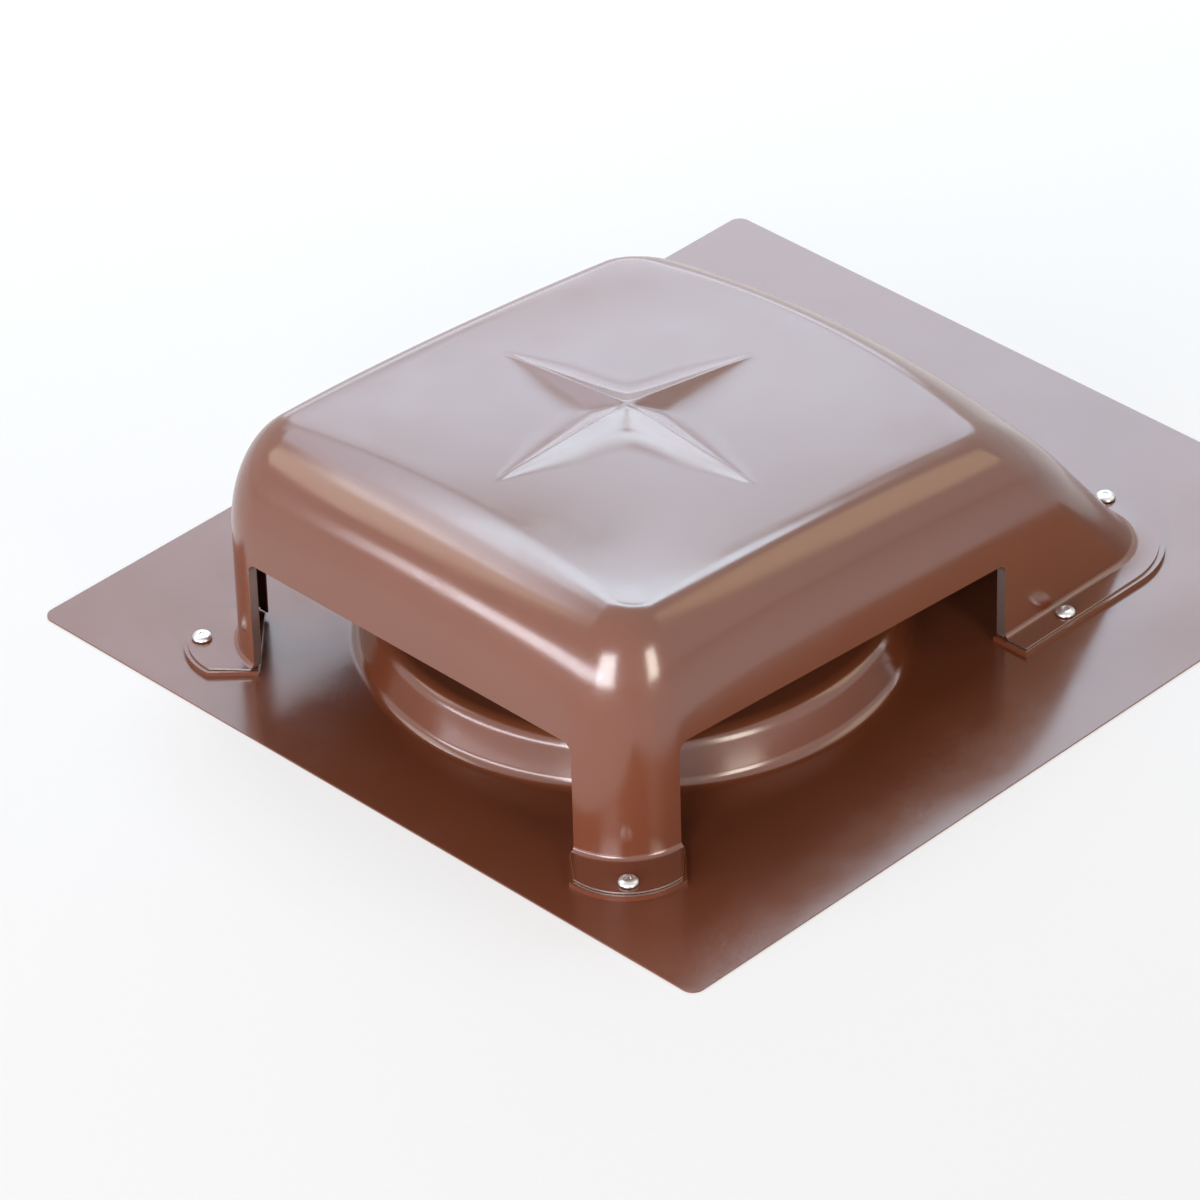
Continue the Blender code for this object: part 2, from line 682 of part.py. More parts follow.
def main():
    clear_scene()
    paint = finish("brown_painted_sheet", (0.098, 0.042, 0.026), 0.0, 0.22)
    bare = finish("bare_aluminium_rivet", (0.72, 0.72, 0.73), 1.0, 0.35)
    mesh_metal = finish("galvanised_screen", (0.42, 0.43, 0.44), 1.0, 0.45)
    build_flashing(paint)
    build_hood(paint)
    build_screen(mesh_metal)
    hood_rivet = rivet_mesh(
        RIVET_SHANK_RADIUS,
        RIVET_HEAD_RADIUS,
        RIVET_HEAD_HEIGHT,
        RIVET_TAIL_RADIUS,
        RIVET_TAIL_HEIGHT,
        SEAT_RISE - CLEARANCE,
        FOOT_TOP + CLEARANCE,
    )
    place_rivets(hood_rivet, {**foot_rivet_places(), **back_rivet_places()}, bare)
    screen_rivet = rivet_mesh(
        SCREEN_RIVET_SHANK_RADIUS,
        SCREEN_RIVET_HEAD_RADIUS,
        SCREEN_RIVET_HEAD_HEIGHT,
        SCREEN_RIVET_HEAD_RADIUS,
        SCREEN_RIVET_TAIL_HEIGHT,
        SCREEN_UNDERSIDE - CLEARANCE,
        COLLAR_TOP + CLEARANCE,
    )
    place_rivets(screen_rivet, screen_rivet_places(), bare)


main()
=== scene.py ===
"""Static roof vent: a brown enamelled sheet hood on a flat flashing, dressed for its studio picture."""

import math

import bmesh
import bpy
from mathutils import Matrix, Vector


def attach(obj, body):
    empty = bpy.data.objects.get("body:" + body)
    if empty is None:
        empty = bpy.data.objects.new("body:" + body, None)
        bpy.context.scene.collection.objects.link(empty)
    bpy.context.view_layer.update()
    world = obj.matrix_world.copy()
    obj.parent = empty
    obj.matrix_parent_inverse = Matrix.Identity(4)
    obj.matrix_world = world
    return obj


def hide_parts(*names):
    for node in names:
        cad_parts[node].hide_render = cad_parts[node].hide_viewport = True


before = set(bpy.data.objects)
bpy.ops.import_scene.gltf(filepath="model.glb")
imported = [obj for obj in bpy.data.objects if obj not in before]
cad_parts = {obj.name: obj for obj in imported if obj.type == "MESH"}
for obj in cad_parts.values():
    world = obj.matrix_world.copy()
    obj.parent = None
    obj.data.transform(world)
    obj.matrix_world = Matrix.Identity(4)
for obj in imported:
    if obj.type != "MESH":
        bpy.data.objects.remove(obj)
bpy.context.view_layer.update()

MM = 0.001

# The flashing, as in the part, but for its collar: the wall leans in here and its bends are wider.
FLANGE_WIDTH, FLANGE_LENGTH, FLANGE_CORNER = 406 * MM, 457 * MM, 6 * MM
SHEET = 0.8 * MM
SEAT_TOP, SEAT_MARGIN, SEAT_RISE = 3 * MM, 2 * MM, 2.2 * MM
THROAT_RADIUS, COLLAR_RADIUS, COLLAR_TOP = 101.6 * MM, 121 * MM, 23.3 * MM
COLLAR_FOOT, COLLAR_SHOULDER = 6 * MM, 8 * MM
COLLAR_DRAFT, COLLAR_LEAN, COLLAR_MARGIN = 14, 1.4 * MM, 1 * MM

# The hood, as in the part, but for a lower star, rounder panel corners and deeper rolls.
HOOD_FRONT = -194.5 * MM
SIDE_FACE = 131 * MM
HOOD_DEPTH, HOOD_HEIGHT = 350 * MM, 126.5 * MM
FRONT_CORNER, BACK_CORNER, PANEL_CORNER = 36 * MM, 29 * MM, 9 * MM
TOP_FALL, CROWN_ACROSS, CROWN_ALONG = 0.081, 4.5 * MM, 2.7 * MM
SLANT_ANGLE = math.radians(52.3)
SIDE_ROLL, FRONT_ROLL, BACK_ROLL, ROLL_DROP = 25 * MM, 32 * MM, 20 * MM, 42 * MM
# The roll runs this much further down at the two front corners.
CORNER_DROP = 20 * MM
FRONT_ROLL_BOW, BACK_BOW = 8 * MM, 12 * MM
STAR_SETBACK, STAR_HEIGHT = 139 * MM, 5 * MM
STAR_ACROSS, STAR_ALONG, STAR_WAIST, STAR_TIP = 76 * MM, 80 * MM, 13.4 * MM, 1.6 * MM
STAR_HOLLOW = 0.45
OPENING_HALF, OPENING_TOP, OPENING_CORNER = 99.5 * MM, 60.3 * MM, 5 * MM
SIDE_START, SIDE_END, SIDE_FALL = 34 * MM, 242 * MM, 0.068
LIP_DEPTH = 5 * MM
FOOT_BEND, FOOT_REACH, FOOT_END_RADIUS, BACK_REACH = 2.5 * MM, 23 * MM, 31 * MM, 12.5 * MM
FOOT_UNDERSIDE, FOOT_TOP = 3.3 * MM, 4.1 * MM

# The insect screen and the rivets, as in the part.
SCREEN_RADIUS, SCREEN_TOP, SCREEN_UNDERSIDE = 113 * MM, 22.2 * MM, 21.2 * MM
SCREEN_RIM_LAP = 1.6 * MM
SCREEN_RIVET_CIRCLE = 107.3 * MM
HOOD_RIVET_HOLE, SCREEN_RIVET_HOLE = 2.7 * MM, 1.9 * MM
THROAT_Y = HOOD_FRONT + 141 * MM
STAR_Y = HOOD_FRONT + STAR_SETBACK
SLANT = math.tan(SLANT_ANGLE)
LEG_X, LEG_Y = SIDE_FACE - FRONT_CORNER, HOOD_FRONT + FRONT_CORNER

# Steps along the curves, fine enough for clean reflections in gloss enamel.
CORNER_STEPS = 28
STRAIGHT_STEPS = 10
ROLL_STEPS = 22
PANEL_STEPS = 8
WALL_STEPS = 6
BEND_STEPS = 6
COLLAR_STEPS = (10, 12)
HOLE_STEPS = 24
RING = 4 * (CORNER_STEPS + 2 * STRAIGHT_STEPS)


# Colour and nodes

def paint_colour(sheet_hex):
    """An sRGB hex value as the linear colour that the shaders take."""
    channels = [int(sheet_hex[i : i + 2], 16) / 255 for i in (1, 3, 5)]
    linear = [c / 12.92 if c <= 0.04045 else ((c + 0.055) / 1.055) ** 2.4 for c in channels]
    return (*linear, 1)


def add_node(tree, kind, settings=(), inputs=()):
    """Adds a node, sets its settings, and fills each input with a value or a link."""
    made = tree.nodes.new(kind)
    for name, value in dict(settings).items():
        setattr(made, name, value)
    for name, value in dict(inputs).items():
        socket = made.inputs[name]
        if isinstance(value, bpy.types.NodeSocket):
            tree.links.new(value, socket)
        else:
            socket.default_value = value
    return made


def start_finish(name):
    """A material, its tree cleared, and the frame's own coordinates in metres."""
    made = bpy.data.materials.new(name)
    made.use_nodes = True
    tree = made.node_tree
    tree.nodes.clear()
    place = add_node(tree, "ShaderNodeTexCoord").outputs["Object"]
    return made, tree, place


def end_finish(tree, shader):
    add_node(tree, "ShaderNodeOutputMaterial", inputs={"Surface": shader.outputs[0]})


# Finishes

def roller_coated_enamel():
    """Brown polyester enamel, roller coated on aluminium coil and baked before the press drew it.

    It gives a deep wet gloss with a faint orange peel, soft waves where the sheet was stretched,
    and a little haze where hands and dust have dulled it.
    """
    made, tree, place = start_finish("brown_baked_enamel")
    # The coat's tone drifts over about 90 mm, a coil line's own unevenness.
    drift = add_node(tree, "ShaderNodeTexNoise", inputs={"Vector": place, "Scale": 11, "Detail": 2})
    tone = add_node(tree, "ShaderNodeMix", {"data_type": "RGBA"}, {"Factor": drift.outputs["Fac"]})
    tone.inputs["A"].default_value = paint_colour("#703C26")
    tone.inputs["B"].default_value = paint_colour("#7A422A")
    # Dust haze in patches of about 25 mm, with specks of about 1.2 mm in it.
    haze = add_node(tree, "ShaderNodeTexNoise", inputs={"Vector": place, "Scale": 40, "Detail": 4})
    specks = add_node(tree, "ShaderNodeTexNoise", inputs={"Vector": place, "Scale": 830, "Detail": 1})
    dulling = add_node(tree, "ShaderNodeMath", {"operation": "MULTIPLY"})
    tree.links.new(haze.outputs["Fac"], dulling.inputs[0])
    tree.links.new(specks.outputs["Fac"], dulling.inputs[1])
    gloss = add_node(
        tree,
        "ShaderNodeMapRange",
        inputs={
            "Value": dulling.outputs[0],
            "From Min": 0.1,
            "From Max": 0.45,
            "To Min": 0.15,
            "To Max": 0.25,
        },
    )
    # Orange peel: real grains are 0.6 mm across, drawn at 2.2 mm so that they show at all.
    peel = add_node(tree, "ShaderNodeTexNoise", inputs={"Vector": place, "Scale": 450, "Detail": 1})
    grain = add_node(
        tree,
        "ShaderNodeBump",
        inputs={"Height": peel.outputs["Fac"], "Strength": 0.25, "Distance": 0.02 * MM},
    )
    # Waves of about 70 mm left by the drawing press, a fraction of a millimetre deep.
    wave = add_node(tree, "ShaderNodeTexNoise", inputs={"Vector": place, "Scale": 14, "Detail": 0})
    stretch = add_node(
        tree,
        "ShaderNodeBump",
        inputs={
            "Height": wave.outputs["Fac"],
            "Strength": 1.0,
            "Distance": 0.6 * MM,
            "Normal": grain.outputs["Normal"],
        },
    )
    # Enamel's own index is near 1.5; it is raised to 1.8 for the wet gloss of the thick baked coat.
    shader = add_node(
        tree,
        "ShaderNodeBsdfPrincipled",
        inputs={
            "Base Color": tone.outputs["Result"],
            "Roughness": gloss.outputs["Result"],
            "IOR": 1.8,
            "Normal": stretch.outputs["Normal"],
        },
    )
    end_finish(tree, shader)
    return made


def shade_painted_backer():
    """The coil's reverse side, a thin dull coat in black-brown: painted shade, so the hood's inside is
    dark.
    """
    made, tree, place = start_finish("backer_with_painted_shade")
    # Roller streaks of about 6 mm.
    streaks = add_node(tree, "ShaderNodeTexNoise", inputs={"Vector": place, "Scale": 160, "Detail": 2})
    # The black-brown tones are painted shade: they darken the hood's inside, where shade falls.
    tone = add_node(tree, "ShaderNodeMix", {"data_type": "RGBA"}, {"Factor": streaks.outputs["Fac"]})
    tone.inputs["A"].default_value = paint_colour("#1F1512")
    tone.inputs["B"].default_value = paint_colour("#2B1D18")
    shader = add_node(
        tree,
        "ShaderNodeBsdfPrincipled",
        inputs={"Base Color": tone.outputs["Result"], "Roughness": 0.55, "IOR": 1.5},
    )
    end_finish(tree, shader)
    return made


def sheared_aluminium():
    """Bare aluminium on the sheet's cut edges: the shear's fine lines catch the light."""
    made, tree, place = start_finish("sheared_aluminium_edge")
    # Shear marks run through the sheet's thickness; 0.1 mm real, drawn at 0.8 mm.
    marks = add_node(tree, "ShaderNodeTexNoise", inputs={"Vector": place, "Scale": 1250, "Detail": 2})
    shine = add_node(
        tree,
        "ShaderNodeMapRange",
        inputs={"Value": marks.outputs["Fac"], "To Min": 0.25, "To Max": 0.5},
    )
    relief = add_node(
        tree,
        "ShaderNodeBump",
        inputs={"Height": marks.outputs["Fac"], "Strength": 0.3, "Distance": 0.05 * MM},
    )
    shader = add_node(
        tree,
        "ShaderNodeBsdfPrincipled",
        inputs={
            "Base Color": paint_colour("#D9D5D2"),
            "Metallic": 1.0,
            "Roughness": shine.outputs["Result"],
            "Normal": relief.outputs["Normal"],
        },
    )
    end_finish(tree, shader)
    return made


def headed_aluminium():
    """Blind rivets of bare aluminium, cold headed: satin with fine turned rings and small dents."""
    made, tree, place = start_finish("cold_headed_aluminium_rivet")
    # Handling dents of about 1 mm, real size.
    dents = add_node(tree, "ShaderNodeTexVoronoi", inputs={"Vector": place, "Scale": 1000})
    # Tarnish in clouds of about 3 mm.
    tarnish = add_node(tree, "ShaderNodeTexNoise", inputs={"Vector": place, "Scale": 300, "Detail": 3})
    tone = add_node(tree, "ShaderNodeMix", {"data_type": "RGBA"}, {"Factor": tarnish.outputs["Fac"]})
    tone.inputs["A"].default_value = paint_colour("#DCDCDD")
    tone.inputs["B"].default_value = paint_colour("#C4C3C2")
    satin = add_node(
        tree,
        "ShaderNodeMapRange",
        inputs={"Value": tarnish.outputs["Fac"], "To Min": 0.22, "To Max": 0.42},
    )
    relief = add_node(
        tree,
        "ShaderNodeBump",
        inputs={"Height": dents.outputs["Distance"], "Strength": 0.25, "Distance": 0.06 * MM},
    )
    shader = add_node(
        tree,
        "ShaderNodeBsdfPrincipled",
        inputs={
            "Base Color": tone.outputs["Result"],
            "Metallic": 1.0,
            "Roughness": satin.outputs["Result"],
            "Normal": relief.outputs["Normal"],
        },
    )
    end_finish(tree, shader)
    return made


def woven_aluminium():
    """Drawn aluminium wire of the woven screen and its pressed rim: grey, dull, lightly oxidised."""
    made, tree, place = start_finish("oxidised_aluminium_wire")
    # Oxide bloom in patches of about 8 mm.
    bloom = add_node(tree, "ShaderNodeTexNoise", inputs={"Vector": place, "Scale": 125, "Detail": 4})
    tone = add_node(tree, "ShaderNodeMix", {"data_type": "RGBA"}, {"Factor": bloom.outputs["Fac"]})
    tone.inputs["A"].default_value = paint_colour("#B3B4B5")
    tone.inputs["B"].default_value = paint_colour("#8F9091")
    dull = add_node(
        tree,
        "ShaderNodeMapRange",
        inputs={"Value": bloom.outputs["Fac"], "To Min": 0.35, "To Max": 0.6},
    )
    shader = add_node(
        tree,
        "ShaderNodeBsdfPrincipled",
        inputs={
            "Base Color": tone.outputs["Result"],
            "Metallic": 1.0,
            "Roughness": dull.outputs["Result"],
        },
    )
    end_finish(tree, shader)
    return made


# Outlines shared by the pieces

def arc(centre, radius, start, end, steps):
    """Points on an arc, angles in degrees, both ends included."""
    angles = [math.radians(start + (end - start) * i / steps) for i in range(steps + 1)]
    return [(centre[0] + radius * math.cos(a), centre[1] + radius * math.sin(a)) for a in angles]


def rivet_hole(centre, radius):
    """A round hole, turned a little so that its points miss the straight lines of the sheet."""
    return arc(centre, radius, 4, 364, HOLE_STEPS)[:-1]


def between(start, end, steps):
    """Evenly spaced points from start towards end, without the end itself."""
    first, last = Vector(start), Vector(end)
    return [tuple(first.lerp(last, i / steps)) for i in range(steps)]


def rounded_ring(half_width, front, back, front_radius, back_radius, middle):
    """A rounded rectangle in plan, from the middle of the right-hand side, always RING points."""
    ring = []
    for turn in range(4):
        across = 1 if turn in (0, 3) else -1
        end, radius = (back, back_radius) if turn < 2 else (front, front_radius)
        inwards = -radius if turn < 2 else radius
        centre = (across * (half_width - radius), end + inwards)
        corner = arc(centre, radius, 90 * turn, 90 * turn + 90, CORNER_STEPS)
        side, crown = (across * half_width, middle), (0, end)
        start, stop = (side, crown) if turn % 2 == 0 else (crown, side)
        ring += between(start, corner[0], STRAIGHT_STEPS)
        ring += corner
        ring += between(corner[-1], stop, STRAIGHT_STEPS)[1:]
    return ring


def circle_ring(radius):
    return arc((0, THROAT_Y), radius, 0, 360, RING)[:-1]


def star_ring():
    """The pressed star's outline: four tapering arms with a smooth hollow between each pair."""
    ring = []
    steps = RING // 8
    waist = Vector((STAR_WAIST, STAR_WAIST))
    hollow = Vector((1, -1)) * STAR_WAIST * STAR_HOLLOW
    for turn in range(4):
        right = 1 if turn in (0, 3) else -1
        rear = 1 if turn < 2 else -1
        halves = []
        for length, along_x in ((STAR_ACROSS, True), (STAR_ALONG, False)):
            tip = Vector((length, STAR_TIP / 2))
            half = [(length + STAR_TIP / 2, 0)]
            for i in range(steps):
                t = i / (steps - 1)
                point = tip * (1 - t) ** 2 + (waist + hollow) * 2 * t * (1 - t) + waist * t**2
                half.append((point.x, point.y))
            halves.append(half if along_x else [(y, x) for x, y in half])
        quarter = halves[0] + halves[1][-2:0:-1]
        if turn % 2:
            quarter = halves[1] + halves[0][-2:0:-1]
        ring += [(right * x, STAR_Y + rear * y) for x, y in quarter]
    return ring


def skin(mesh, lower, upper):
    for i in range(len(lower)):
        after = (i + 1) % len(lower)
        mesh.faces.new((lower[i], lower[after], upper[after], upper[i]))


def new_piece(name, mesh, *finishes):
    bmesh.ops.recalc_face_normals(mesh, faces=mesh.faces)
    data = bpy.data.meshes.new(name)
    mesh.to_mesh(data)
    mesh.free()
    piece = bpy.data.objects.new(name, data)
    bpy.context.scene.collection.objects.link(piece)
    for finish in finishes:
        data.materials.append(finish)
    return piece


def shade(piece, degrees=35):
    piece.data.shade_smooth()
    piece.data.set_sharp_from_angle(angle=math.radians(degrees))


def add_prism(mesh, outline, start, end, direction="Z"):
    """Adds a straight closed prism to the mesh, between two places along an axis."""
    place = {
        "X": lambda point, depth: Vector((depth, point[0], point[1])),
        "Y": lambda point, depth: Vector((point[0], depth, point[1])),
        "Z": lambda point, depth: Vector((point[0], point[1], depth)),
    }[direction]
    near = [mesh.verts.new(place(point, start)) for point in outline]
    far = [mesh.verts.new(place(point, end)) for point in outline]
    mesh.faces.new(near)
    mesh.faces.new(far[::-1])
    skin(mesh, near, far)


def boolean(piece, tool, operation):
    """Joins or cuts the piece with a tool shape, applies it, and takes the tool away.

    The faces that the tool leaves take the tool's own finish.
    """
    modifier = piece.modifiers.new("tool", "BOOLEAN")
    modifier.operation = operation
    modifier.solver = "EXACT"
    modifier.material_mode = "TRANSFER"
    modifier.object = tool
    apply_modifiers(piece)
    bpy.data.objects.remove(tool, do_unlink=True)


def apply_modifiers(piece):
    graph = bpy.context.evaluated_depsgraph_get()
    made = bpy.data.meshes.new_from_object(piece.evaluated_get(graph), depsgraph=graph)
    piece.modifiers.clear()
    old, piece.data = piece.data, made
    bpy.data.meshes.remove(old)


# The feet: tongues at the front legs, and the flange round the back

def diagonal(across, along):
    """A plan point in the right leg's own directions: out from its corner, and across that."""
    return (
        LEG_X + (along + across) * math.sqrt(0.5),
        LEG_Y + (across - along) * math.sqrt(0.5),
    )


def leg_edges():
    side = (SIDE_FACE - LEG_X, HOOD_FRONT + SIDE_START - LEG_Y)
    front = (OPENING_HALF - LEG_X, HOOD_FRONT - LEG_Y)
    return [((x + y) * math.sqrt(0.5), (x - y) * math.sqrt(0.5)) for x, y in (front, side)]


def tongue(margin, steps=24):
    (low, low_along), (high, high_along) = leg_edges()
    low, high = low - margin, high + margin
    middle, half = (low + high) / 2, (high - low) / 2
    radius = FOOT_END_RADIUS + margin
    reach = FRONT_CORNER + FOOT_REACH + margin
    spread = math.degrees(math.asin(half / radius))
    end = arc((middle, reach - radius), radius, 90 - spread, 90 + spread, steps)
    return [(low, low_along - margin), (high, high_along - margin), *end]


def tongue_outline(margin, side=1):
    points = [diagonal(across, along) for across, along in tongue(margin)]
    return [(side * x, y) for x, y in points]


def slant_back(height, sheet):
    """How far back the slanted wall stands at this height."""
    foot = HOOD_FRONT + HOOD_DEPTH - sheet / math.sin(SLANT_ANGLE)
    return foot - (height - SHEET) / SLANT


def foot_trim():
    """Plan outline of all that is kept: walls, tongues, back flange. The openings square it off."""
    right = [diagonal(across, along) for across, along in tongue(0)[2:]]
    clear, overlap = 0.3 * MM, 2 * MM
    right = [(SIDE_FACE + clear, HOOD_FRONT + SIDE_START + overlap)] + right
    right += [(OPENING_HALF - overlap, HOOD_FRONT - clear)]
    edge = SIDE_FACE + BACK_REACH
    back = slant_back(FOOT_TOP, 0) + BACK_REACH
    radius = BACK_CORNER + BACK_REACH + overlap
    start = HOOD_FRONT + SIDE_END - overlap
    corner = arc((edge - radius, back - radius), radius, 90, 0, CORNER_STEPS - 1)
    half = corner + [(edge, start), (SIDE_FACE + clear, start)] + right
    return half + [(-x, y) for x, y in reversed(half)]


def back_seat(margin):
    reach = BACK_REACH + margin
    inner = SHEET + LIP_DEPTH / 2 + margin
    start = HOOD_FRONT + SIDE_END - margin
    foot = slant_back(FOOT_TOP, 0)
    outer_edge, outer_back, outer_radius = SIDE_FACE + reach, foot + reach, BACK_CORNER + reach
    inner_edge, inner_back, inner_radius = SIDE_FACE - inner, foot - inner, BACK_CORNER - inner
    outside = [(outer_edge, start)] + arc(
        (outer_edge - outer_radius, outer_back - outer_radius), outer_radius, 0, 90, CORNER_STEPS
    )
    inside = arc(
        (inner_edge - inner_radius, inner_back - inner_radius), inner_radius, 90, 0, CORNER_STEPS
    )
    outside += [(-x, y) for x, y in reversed(outside)]
    left_inside = [(-x, y) for x, y in reversed(inside)]
    return [(inner_edge, start)] + outside + [(-inner_edge, start)] + left_inside + inside


def hood_rivet_places():
    (low, _), (high, _) = leg_edges()
    x, y = diagonal((low + high) / 2, FRONT_CORNER + FOOT_REACH - 6.5 * MM)
    middle = FOOT_BEND + (BACK_REACH - FOOT_BEND) / 2
    back_y, side_y = slant_back(FOOT_TOP, 0) + middle, HOOD_FRONT + 274 * MM
    return {
        "foot_rivet_left": (-x, y),
        "foot_rivet_right": (x, y),
        "back_rivet_1": (-92 * MM, back_y),
        "back_rivet_2": (0, back_y),
        "back_rivet_3": (92 * MM, back_y),
        "side_rivet_left": (-SIDE_FACE - middle, side_y),
        "side_rivet_right": (SIDE_FACE + middle, side_y),
    }


def screen_rivet_places():
    places = {}
    for i in range(4):
        turned = math.pi * (i + 0.5) / 2
        x = SCREEN_RIVET_CIRCLE * math.cos(turned)
        y = THROAT_Y + SCREEN_RIVET_CIRCLE * math.sin(turned)
        places[f"screen_rivet_{i + 1}"] = (x, y)
    return places


# The hood

def top_plane(y, sheet):
    return SHEET + HOOD_HEIGHT - TOP_FALL * (y - HOOD_FRONT) - sheet


def top_height(x, y, sheet):
    """Height of the hood's slightly crowned top."""
    across = min(1.1, abs(x) / (SIDE_FACE - SIDE_ROLL))
    along = min(1.1, abs(y - STAR_Y) / (STAR_SETBACK - FRONT_ROLL))
    return top_plane(y, sheet) - CROWN_ACROSS * across**2 - CROWN_ALONG * along**2


def roll_ring(sheet, angle):
    """A ring of the roll between top and walls: 0 degrees is its upper edge, 90 its lower."""
    turned = math.radians(angle)
    inset = 1 - math.sin(turned)
    drop = (ROLL_DROP - sheet) * (1 - math.cos(turned))
    corner_drop = CORNER_DROP * (1 - math.cos(turned))
    wall = slant_back(top_plane(HOOD_FRONT, sheet) - drop, sheet)
    wall = HOOD_FRONT + (wall - HOOD_FRONT) / (1 - TOP_FALL / SLANT)
    half_width = SIDE_FACE - sheet - (SIDE_ROLL - sheet) * inset
    front = HOOD_FRONT + sheet + (FRONT_ROLL - sheet) * inset
    back = wall - (BACK_ROLL - sheet) * inset
    radii = [(1 - inset) * (c - sheet) + inset * PANEL_CORNER for c in (FRONT_CORNER, BACK_CORNER)]
    ring = []
    for x, y in rounded_ring(half_width, front, back, *radii, STAR_Y):
        middling = 1 - (x / half_width) ** 2
        forward = max(0, (STAR_Y - y) / (STAR_Y - front))
        backward = max(0, (y - STAR_Y) / (back - STAR_Y))
        y += (FRONT_ROLL_BOW * inset * forward + BACK_BOW * backward) * middling
        cornering = (x / half_width) ** 4 * forward**4
        ring.append(Vector((x, y, top_height(x, y, sheet) - drop - corner_drop * cornering)))
    return ring


def foot_ring(sheet, angle):
    """A ring of the bend at the foot: 0 degrees is where the wall ends, 90 where it lies flat."""
    turned = math.radians(angle)
    bend = FOOT_BEND + sheet
    height = FOOT_TOP + FOOT_BEND - bend * math.sin(turned)
    outwards = bend * (1 - math.cos(turned)) - sheet
    start = FOOT_TOP + FOOT_BEND
    back = slant_back(start, 0) + outwards + (start - height) / SLANT
    corners = (FRONT_CORNER + outwards, BACK_CORNER + outwards)
    ring = rounded_ring(SIDE_FACE + outwards, HOOD_FRONT - outwards, back, *corners, STAR_Y)
    return [Vector((x, y, height)) for x, y in ring]


def flange_ring(height):
    reach = FOOT_REACH + FOOT_BEND
    back = slant_back(FOOT_TOP, 0) + reach
    corners = (FRONT_CORNER + reach, BACK_CORNER + reach)
    ring = rounded_ring(SIDE_FACE + reach, HOOD_FRONT - reach, back, *corners, STAR_Y)
    return [Vector((x, y, height)) for x, y in ring]


def mixed_rings(upper, lower, steps):
    """Rings in even steps between two rings, the first included."""
    return [[a.lerp(b, i / steps) for a, b in zip(upper, lower)] for i in range(steps)]


def hood_skin(mesh, sheet):
    """One face of the hood's sheet, from the star's peak out to the rim of the foot."""
    peak = Vector((0, STAR_Y, top_height(0, STAR_Y, sheet) + STAR_HEIGHT))
    star = [Vector((x, y, top_height(x, y, sheet))) for x, y in star_ring()]
    panel = roll_ring(sheet, 0)
    outlines = mixed_rings([peak] * RING, star, 4)[1:]
    for ring in mixed_rings(star, panel, PANEL_STEPS):
        outlines.append([Vector((p.x, p.y, top_height(p.x, p.y, sheet))) for p in ring])
    rolls = [roll_ring(sheet, 90 * i / ROLL_STEPS) for i in range(ROLL_STEPS + 1)]
    bends = [foot_ring(sheet, 90 * i / BEND_STEPS) for i in range(BEND_STEPS + 1)]
    outlines += rolls[:-1] + mixed_rings(rolls[-1], bends[0], WALL_STEPS) + bends
    outlines.append(flange_ring(FOOT_UNDERSIDE if sheet else FOOT_TOP))
    rings = [[mesh.verts.new(point) for point in outline] for outline in outlines]
    tip = mesh.verts.new(peak)
    for i in range(RING):
        mesh.faces.new((tip, rings[0][i], rings[0][(i + 1) % RING]))
    for upper, lower in zip(rings, rings[1:]):
        skin(mesh, lower, upper)
    return rings[-1]


def opening_outline(start, end, top_start, top_end, bottom, grow):
    """An upright opening, straight sided, its top corners rounded. Grow gives the lip's outline."""
    low, high = start - grow, end + grow
    fall = (top_end - top_start) / (end - start)
    radius = OPENING_CORNER + grow
    level = top_start + grow + fall * (low + radius - start)
    left = (low + radius, level - radius)
    level = top_start + grow + fall * (high - radius - start)
    right = (high - radius, level - radius)
    outline = [(low, bottom)] + arc(left, radius, 180, 90, 8) + arc(right, radius, 90, 0, 8)
    return outline + [(high, bottom)]


def front_opening(bottom, grow=0):
    return opening_outline(-OPENING_HALF, OPENING_HALF, OPENING_TOP, OPENING_TOP, bottom, grow)


def side_opening(bottom, grow=0):
    start, end = HOOD_FRONT + SIDE_START, HOOD_FRONT + SIDE_END
    fall_start, fall_end = SIDE_FALL * SIDE_START, SIDE_FALL * SIDE_END
    tops = (OPENING_TOP - fall_start, OPENING_TOP - fall_end)
    return opening_outline(start, end, *tops, bottom, grow)


